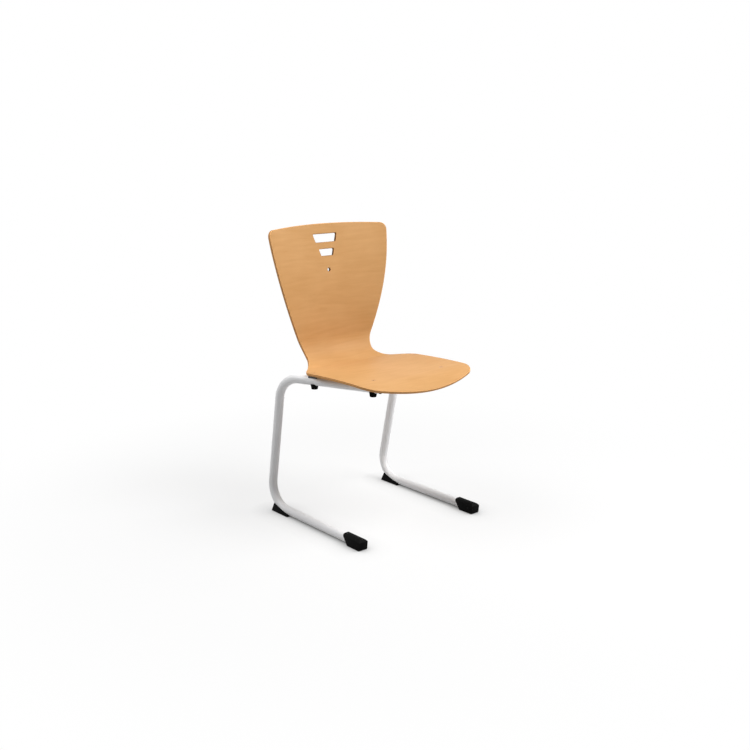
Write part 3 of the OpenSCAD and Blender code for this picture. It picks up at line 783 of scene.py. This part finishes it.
# %% Joining rings and closing a mesh
def bridge(made, low, high):
    """Faces between two rings of corners, or a ring and a point."""
    for k in range(max(len(low), len(high))):
        corners = [low[k % len(low)], high[k % len(high)],
                   high[(k + 1) % len(high)], low[(k + 1) % len(low)]]
        made.faces.new(list(dict.fromkeys(corners)))


def closed_mesh(name, made, material=None):
    """The mesh of a bmesh, with its faces turned outwards."""
    bmesh.ops.recalc_face_normals(made, faces=made.faces)
    mesh = bpy.data.meshes.new(name)
    made.to_mesh(mesh)
    made.free()
    if material:
        mesh.materials.append(material)
    return mesh


# %% Cross tubes and their welds
CROSS_DROP = 3 * MM
FRONT_REACH, REAR_REACH = 24 * MM, 28 * MM    # how far each cross tube lies behind its screws
BEAD_R, RIPPLE = 1 * MM, 0.12


def weld_line(end, radius, steps=48):
    """Points where a cross tube of that radius meets a seat tube: rays along X cut its round."""
    side = math.copysign(1, end[0])
    seat_dir, seat_point, ray = forward * [side, 1, 1], high_corner * [side, 1, 1], np.array([side, 0, 0])
    flat_ray = ray - (ray @ seat_dir) * seat_dir
    ring = []
    for k in range(steps):
        a = 2 * math.pi * k / steps
        start = end + np.array([0, math.cos(a), math.sin(a)]) * radius - ray * 30 * MM
        away = start - seat_point
        flat_away = away - (away @ seat_dir) * seat_dir
        qa, qb = flat_ray @ flat_ray, 2 * flat_ray @ flat_away
        qc = flat_away @ flat_away - (TUBE_D / 2) ** 2
        t = (-qb - math.sqrt(max(0.0, qb * qb - 4 * qa * qc))) / (2 * qa)
        ring.append(start + ray * t)
    return ring


def tube_through(name, ring, r, steps=10):
    """A closed tube of radius r along a closed ring of points, with the ripples of a weld."""
    made, count, rows = bmesh.new(), len(ring), []
    for i, p in enumerate(ring):
        ahead = ring[(i + 1) % count] - ring[i - 1]
        ahead = ahead / np.linalg.norm(ahead)
        side = np.cross(ahead, [1.0, 0, 0])
        side = side / np.linalg.norm(side)
        up = np.cross(side, ahead)
        swell = r * (1 + RIPPLE * math.sin(i * math.pi / 2))
        rows.append([made.verts.new(p + swell * (math.cos(b) * side + math.sin(b) * up))
                     for b in (2 * math.pi * k / steps for k in range(steps))])
    for i in range(count):
        bridge(made, rows[i], rows[(i + 1) % count])
    obj = new_object(name, closed_mesh(name, made, powder_coat))
    obj.data.polygons.foreach_set("use_smooth", [True] * len(obj.data.polygons))
    return obj


for place, point in (("front", front_axis - FRONT_REACH * forward),
                     ("rear", rear_axis - REAR_REACH * forward)):
    left_end = point - [0, 0, CROSS_DROP]
    ends = [on_side([left_end], sign)[0] for _, sign in SIDES]
    cross = bend_tube(place + "_straight_tube", ends, CROSS_D)
    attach(cross, "root")
    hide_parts(place + "_cross_tube")
    for (side, _), end in zip(SIDES, ends):
        bead = tube_through(place + "_" + side + "_weld", weld_line(end, CROSS_D / 2), BEAD_R)
        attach(bead, "root")
    print(cross.name, "with two welds")

# %% [markdown]
# ## Front caps
#
# A cap is a moulded shoe: round over the tube, flat on the floor, chamfered at
# the front and cut on a slant at the back. Two simple extrusions, one drawn from
# the side and one from the front, meet in that shape, and a bevel gives every
# edge the small radius that a moulding has.

# %% Shapes from two outlines
def prism(name, outline, axis, low, high):
    """The outline extruded from low to high along axis 0 or 1, and given in the two other axes."""
    made = bmesh.new()
    ends = [[made.verts.new(tuple(np.insert(np.array(p, dtype=float), axis, level))) for p in outline]
            for level in (low, high)]
    made.faces.new(ends[0])
    made.faces.new(ends[1][::-1])
    bridge(made, *ends)
    return new_object(name, closed_mesh(name, made))


def shaped(obj, operation, other):
    """obj after a boolean with the other object, which is removed."""
    modifier = obj.modifiers.new("shape", "BOOLEAN")
    modifier.operation, modifier.object, modifier.solver = operation, other, "EXACT"
    apply_modifiers(obj)
    bpy.data.objects.remove(other)
    return obj


def moulded_edges(obj, width, material):
    """Rounds the edges and gives the piece its material."""
    bevel = obj.modifiers.new("edges", "BEVEL")
    bevel.width, bevel.segments, bevel.limit_method = width, 3, "ANGLE"
    bevel.angle_limit = math.radians(28)
    apply_modifiers(obj)
    obj.data.materials.clear()
    obj.data.materials.append(material)
    shade(obj.data)


# %% Front caps
CAP_L, CAP_UNDERCUT, CAP_TUCK, GLIDE_W = 60.3 * MM, 18.1 * MM, 2 * MM, 22.8 * MM
CAP_WALL, CAP_CORNER_R, BORE_GAP = 3.3 * MM, 2.6 * MM, 0.2 * MM
CAP_R = TUBE_D / 2 + CAP_WALL
CAP_TOP, CAP_CHAMFER = runner_z + CAP_R, CAP_R / 2


def arch(half, r, top, count=28):
    """The cap seen from the front: a round top of radius r on a straight-sided foot."""
    meet = math.acos(half / r) if half < r else 0.0
    turns = np.linspace(meet, math.pi - meet, count)
    return [(half, 0.0)] + [(r * math.cos(a), top - r + r * math.sin(a)) for a in turns] + [(-half, 0.0)]


side_view = np.array([[CAP_TUCK, 0], [0, CAP_TOP - CAP_CHAMFER], [CAP_CHAMFER, CAP_TOP], [CAP_L, CAP_TOP],
                      [CAP_L - CAP_UNDERCUT, 0]]) + [cap_front, 0]
for side, sign in SIDES:
    cap = prism(side + "_cap_shoe", rounded(side_view, CAP_CORNER_R, 5), 0,
                sign * RUNNER_X - GLIDE_W, sign * RUNNER_X + GLIDE_W)
    front_view = [(x + sign * RUNNER_X, z) for x, z in arch(GLIDE_W / 2, CAP_R, CAP_TOP)]
    shaped(cap, "INTERSECT", prism("front_view", front_view, 1, cap_front - CAP_L, cap_front + 2 * CAP_L))
    bore = bend_tube("bore", on_side((runner_tip, low_corner), sign), TUBE_D + BORE_GAP)
    shaped(cap, "DIFFERENCE", bore)
    moulded_edges(cap, 0.7 * MM, moulded_black)
    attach(cap, "root")
    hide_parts(side + "_front_cap")
    print(cap.name, len(cap.data.polygons), "faces")

# %% [markdown]
# ## Rear glides
#
# Behind, a wedge with a flat sole fills the corner between the bend and the
# floor. It is drawn from the side, and the tube is cut out of it, so it hugs the
# bend as the real moulding does.

# %% Rear glides
HEEL_L, HEEL_INSET, HEEL_H, HEEL_LEAN = 61 * MM, 16.8 * MM, 20.9 * MM, 11 * MM
HEEL_SAG, HEEL_TIP_H = 0.02 * HEEL_H, 6 * MM
glide_back = low_corner[1] - HEEL_INSET
upper = [(-HEEL_LEAN + t * (HEEL_LEAN - HEEL_L),
          HEEL_H + t * (HEEL_TIP_H - HEEL_H) - 4 * HEEL_SAG * t * (1 - t)) for t in np.linspace(0, 1, 9)]
heel_view = [(glide_back + y, z) for y, z in [(-HEEL_L, 0.0), (0.0, 0.0)] + upper]
for side, sign in SIDES:
    glide = prism(side + "_heel_wedge", heel_view, 0,
                  sign * RUNNER_X - GLIDE_W / 2, sign * RUNNER_X + GLIDE_W / 2)
    bore = bend_tube("bore", on_side(path, sign), TUBE_D + BORE_GAP)
    shaped(glide, "DIFFERENCE", bore)
    moulded_edges(glide, 0.5 * MM, moulded_black)
    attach(glide, "root")
    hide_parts(side + "_rear_glide")
    print(glide.name, len(glide.data.polygons), "faces")

# %% [markdown]
# ## Turned pieces
#
# Buffers, plugs and screw heads are round. Each is a half outline turned round
# its own axis.

# %% Turning a half outline
def turned(name, half_outline, material, steps=40):
    """A closed round mesh from (radius, height) points that start and end on the axis."""
    made, rings = bmesh.new(), []
    for r, z in half_outline:
        if r == 0:
            rings.append([made.verts.new((0, 0, z))])
        else:
            rings.append([made.verts.new((r * math.cos(a), r * math.sin(a), z))
                          for a in (2 * math.pi * k / steps for k in range(steps))])
    for low, high in zip(rings, rings[1:]):
        bridge(made, low, high)
    return closed_mesh(name, made, material)


def arc_points(centre_r, centre_z, r, start, end, steps=6):
    return [(centre_r + r * math.cos(math.radians(a)), centre_z + r * math.sin(math.radians(a)))
            for a in np.linspace(start, end, steps + 1)]


# %% [markdown]
# ## Buffers and seat screws, set by Geometry Nodes
#
# The same four places carry a screw above and a buffer below. The tree puts one
# master piece on each point, turned so that its axis stands square on the
# plywood and its second axis follows the tube.

# %% The placing tree
placing = bpy.data.node_groups.new("piece_on_spots", "GeometryNodeTree")
for name, kind in (("Spots", "NodeSocketGeometry"), ("Piece", "NodeSocketObject"),
                   ("Finish", "NodeSocketMaterial")):
    placing.interface.new_socket(name, in_out="INPUT", socket_type=kind)
placing.interface.new_socket("Pieces", in_out="OUTPUT", socket_type="NodeSocketGeometry")
given = add(placing, "NodeGroupInput").outputs
master = add(placing, "GeometryNodeObjectInfo", {"Object": given["Piece"]})
square, follow = [add(placing, "GeometryNodeInputNamedAttribute", {"Name": name},
    data_type="FLOAT_VECTOR") for name in ("square", "follow")]
upright = add(placing, "FunctionNodeAlignRotationToVector", {"Vector": square.outputs[0]}, axis="Z")
facing = add(placing, "FunctionNodeAlignRotationToVector", {"Rotation": upright.outputs[0],
    "Vector": follow.outputs[0]}, axis="Y", pivot_axis="Z")
placed = add(placing, "GeometryNodeInstanceOnPoints", {"Points": given["Spots"],
    "Instance": master.outputs["Geometry"], "Rotation": facing.outputs[0]})
whole = add(placing, "GeometryNodeRealizeInstances", {"Geometry": placed.outputs[0]})
coated = add(placing, "GeometryNodeSetMaterial", {"Geometry": whole.outputs[0],
    "Material": given["Finish"]})
add(placing, "NodeGroupOutput", {"Pieces": coated.outputs[0]})


def on_spots(name, piece_mesh, material, places):
    """Sets the piece at each (x, s) place of the shell."""
    points = mesh_of(name, [face(x, s) for x, s in places])
    square_to = [surface_axes(x, s)[2] for x, s in places]
    tube_to = [forward * [math.copysign(1, x), 1, 1] for x, _ in places]
    for key, values in (("square", square_to), ("follow", tube_to)):
        points.attributes.new(key, "FLOAT_VECTOR", "POINT").data.foreach_set("vector", np.ravel(values))
    master_object = new_object("master", piece_mesh)
    obj = settle(name, points, placing, Piece=master_object, Finish=material)
    bpy.data.objects.remove(master_object)
    return obj


# %% Buffers
BUFFER_TOP_R, BUFFER_LOW_R, BUFFER_H, BUFFER_HUG = 9 * MM, 7.25 * MM, 8.3 * MM, 3.5 * MM
FOOT_R, TOP_EDGE_R = 1.6 * MM, 0.5 * MM
buffer_foot = -(axis_drop + TUBE_D / 2 + BUFFER_H)
buffer_top = buffer_foot + BUFFER_H + BUFFER_HUG
foot_edge = arc_points(BUFFER_LOW_R - FOOT_R, buffer_foot + FOOT_R, FOOT_R, -90, 0)
top_edge = arc_points(BUFFER_TOP_R - TOP_EDGE_R, buffer_top - TOP_EDGE_R, TOP_EDGE_R, 0, 90, 3)
buffer_mesh = turned("buffer", [(0, buffer_foot)] + foot_edge + top_edge + [(0, buffer_top)], black_rubber)
buffers = on_spots("stacking_buffers", buffer_mesh, black_rubber, spots)
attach(buffers, "root")
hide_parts("front_left_buffer", "front_right_buffer", "rear_left_buffer", "rear_right_buffer")
print("buffers:", len(buffers.data.polygons), "faces")

# %% Seat screws
SOCKET_R, SOCKET_H = 1.5 * MM / math.cos(math.pi / 6), 2 * MM
SCREW_L, BROKEN = 33.3 * MM, 0.15 * MM    # BROKEN is the small bevel on the head's edges


def screw_mesh():
    """A countersunk screw with a hexagon socket, its top SUNK below the sitter's face."""
    made, steps = bmesh.new(), 36

    def ring(r, z, hexagon=False):
        corners = []
        for k in range(steps):
            a = 2 * math.pi * k / steps
            reach = math.cos(math.pi / 6) / math.cos((a % (math.pi / 3)) - math.pi / 6) if hexagon else 1
            corners.append(made.verts.new((r * reach * math.cos(a), r * reach * math.sin(a), z)))
        return corners

    top = -SUNK
    rings = [ring(SOCKET_R, top - SOCKET_H, True), ring(SOCKET_R, top - BROKEN, True),
             ring(SOCKET_R + BROKEN, top, True), ring(HEAD_D / 2 - BROKEN, top),
             ring(HEAD_D / 2, top - BROKEN), ring(HEAD_D / 2, top - HEAD_RIM),
             ring(SCREW_D / 2, top - HEAD_RIM - (HEAD_D - SCREW_D) / 2), ring(SCREW_D / 2, top - SCREW_L)]
    for low, high in zip(rings, rings[1:]):
        bridge(made, low, high)
    made.faces.new(rings[0])
    made.faces.new(rings[-1][::-1])
    return closed_mesh("screw", made, brown_lacquer)


screws = on_spots("flush_screws", screw_mesh(), brown_lacquer, spots)
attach(screws, "root")
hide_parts("seat_screws")
print("screws:", len(screws.data.polygons), "faces")

# %% [markdown]
# ## Plugs in the seat tubes
#
# The open end of each seat tube, under the front of the seat, is closed by a
# domed plug with a rim as wide as the tube.

# %% Tube plugs
PLUG_L, PLUG_R, LEAD_IN, RIM_AT = 14 * MM, 7.9 * MM, 0.5 * MM, 0.1 * MM
DOME_EDGE_R, DOME_H = 1.2 * MM, 2.1 * MM
plug_profile = ([(0, -PLUG_L), (PLUG_R - LEAD_IN, -PLUG_L), (PLUG_R, 2 * LEAD_IN - PLUG_L),
                 (PLUG_R, RIM_AT), (TUBE_D / 2, RIM_AT)]
                + arc_points(TUBE_D / 2 - DOME_EDGE_R, DOME_H - DOME_EDGE_R, DOME_EDGE_R, 0, 80, 5)
                + [(4 * MM, DOME_H), (0, DOME_H)])
for side, sign in SIDES:
    plug = new_object(side + "_domed_plug", turned("plug", plug_profile, moulded_black))
    tip, way = (Vector(v) for v in on_side((tube_tip, forward), sign))
    plug.data.transform(way.to_track_quat("Z", "Y").to_matrix().to_4x4())
    plug.data.transform(Matrix.Translation(tip))
    shade(plug.data)
    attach(plug, "root")
    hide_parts(side + "_tube_plug")
print("plugs ready")

# %% [markdown]
# ## Hidden small parts
#
# The pads between plywood and tube, the nuts inside the buffers and the screws
# in the glides keep their CAD shape and only take their finish.

# %% Finishes of the CAD nodes that stay
for name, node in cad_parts.items():
    if "saddle" in name or name in ("seat_nuts", "glide_screws"):
        for held in node.material_slots:
            held.material = grey_pad if "saddle" in name else zinc_plate
        print("kept:", name)

# %% [markdown]
# ## Floor, backdrop and light
#
# The photograph is a white studio: the ground is lost in white and only a soft
# shadow stays. The floor is white paper that keeps its shadow near the chair and
# turns to plain white further out, for what the camera and reflections see. The
# strongest light is a large lamp high in front and to the right. Weaker ones on
# the left and behind show the far sides of the tubes, and a faint sky fills the
# rest.

# %% Floor
PAPER, SEEN_PAPER = (0.62, 0.62, 0.62, 1), (0.22, 0.22, 0.22, 1)
FLOOR_GLOW, SHADE_REACH, NEAR_FADE, FAR_FADE, FAR = 0.75, 0.06, 0.35, 1.1, 40


def seen_directly(tree):
    """1 for the rays of the camera, of gloss and of glass, 0 for those that light the chair."""
    ray = add(tree, "ShaderNodeLightPath").outputs
    direct = add(tree, "ShaderNodeMath", {0: ray["Is Camera Ray"], 1: ray["Is Glossy Ray"]},
        operation="ADD")
    return add(tree, "ShaderNodeMath", {0: direct.outputs[0], 1: ray["Is Transmission Ray"]},
        operation="ADD", use_clamp=True).outputs[0]


floor_mesh = mesh_of("paper_floor", [(-FAR, -FAR, 0), (FAR, -FAR, 0), (FAR, FAR, 0), (-FAR, FAR, 0)],
                     faces=[(0, 1, 2, 3)])
floor = new_object("paper_floor", floor_mesh)
paper = bpy.data.materials.new("white_paper")
tree = empty_tree(paper)
sheet_shader = add(tree, "ShaderNodeBsdfDiffuse", {"Color": PAPER})
seen_sheet = add(tree, "ShaderNodeBsdfDiffuse", {"Color": SEEN_PAPER})
# Ambient occlusion within SHADE_REACH dims the floor's glow under and beside the chair's parts: painted
# shade, added to the real shadow on the paper.
painted_floor_shade = add(tree, "ShaderNodeAmbientOcclusion", {"Distance": SHADE_REACH}, samples=8)
level = add(tree, "ShaderNodeMath", {0: painted_floor_shade.outputs["AO"], 1: FLOOR_GLOW}, operation="MULTIPLY")
glow = add(tree, "ShaderNodeEmission", {"Color": (1, 1, 1, 1), "Strength": level.outputs[0]})
lit = add(tree, "ShaderNodeAddShader", {0: seen_sheet.outputs[0], 1: glow.outputs[0]})
white = add(tree, "ShaderNodeEmission", {"Color": (1, 1, 1, 1), "Strength": 1.0})
distance = add(tree, "ShaderNodeVectorMath", {0: add(tree, "ShaderNodeTexCoord").outputs["Object"]},
    operation="LENGTH")
fade = add(tree, "ShaderNodeMapRange", {"Value": distance.outputs["Value"], "From Min": NEAR_FADE,
    "From Max": FAR_FADE}, interpolation_type="SMOOTHSTEP")
seen = add(tree, "ShaderNodeMixShader", {0: fade.outputs[0], 1: lit.outputs[0], 2: white.outputs[0]})
floor_shader = add(tree, "ShaderNodeMixShader", {0: seen_directly(tree), 1: sheet_shader.outputs[0],
    2: seen.outputs[0]})
add(tree, "ShaderNodeOutputMaterial", {"Surface": floor_shader.outputs[0]})
floor_mesh.materials.append(paper)
print("floor ready")

# %% World and lamps
world = bpy.data.worlds.new("studio")
bpy.context.scene.world = world
tree = empty_tree(world)
SKY = 0.06
sky = add(tree, "ShaderNodeBackground", {"Color": (1, 1, 1, 1), "Strength": SKY})
plain = add(tree, "ShaderNodeBackground", {"Color": (1, 1, 1, 1), "Strength": 1.0})
both = add(tree, "ShaderNodeMixShader", {0: seen_directly(tree), 1: sky.outputs[0], 2: plain.outputs[0]})
add(tree, "ShaderNodeOutputWorld", {"Surface": both.outputs[0]})

AIM, LAMP_D = (0, 0, 0.3), 1.4


def lamp(name, place, power):
    """A round lamp of LAMP_D at that place, turned to the middle of the chair."""
    data = bpy.data.lights.new(name, "AREA")
    data.shape, data.size, data.energy = "DISK", LAMP_D, power
    obj = new_object(name, data)
    obj.location = place
    obj.rotation_euler = (Vector(AIM) - Vector(place)).to_track_quat("-Z", "Y").to_euler()


lamp("key", (0.9, -1.3, 2.2), 52)
lamp("right", (1.9, -0.85, 1.6), 14)
lamp("left", (-1.2, 0.4, 2.2), 20)
lamp("rear", (-1.2, 1.1, 1.6), 9)
bpy.context.scene.view_settings.view_transform = "Standard"
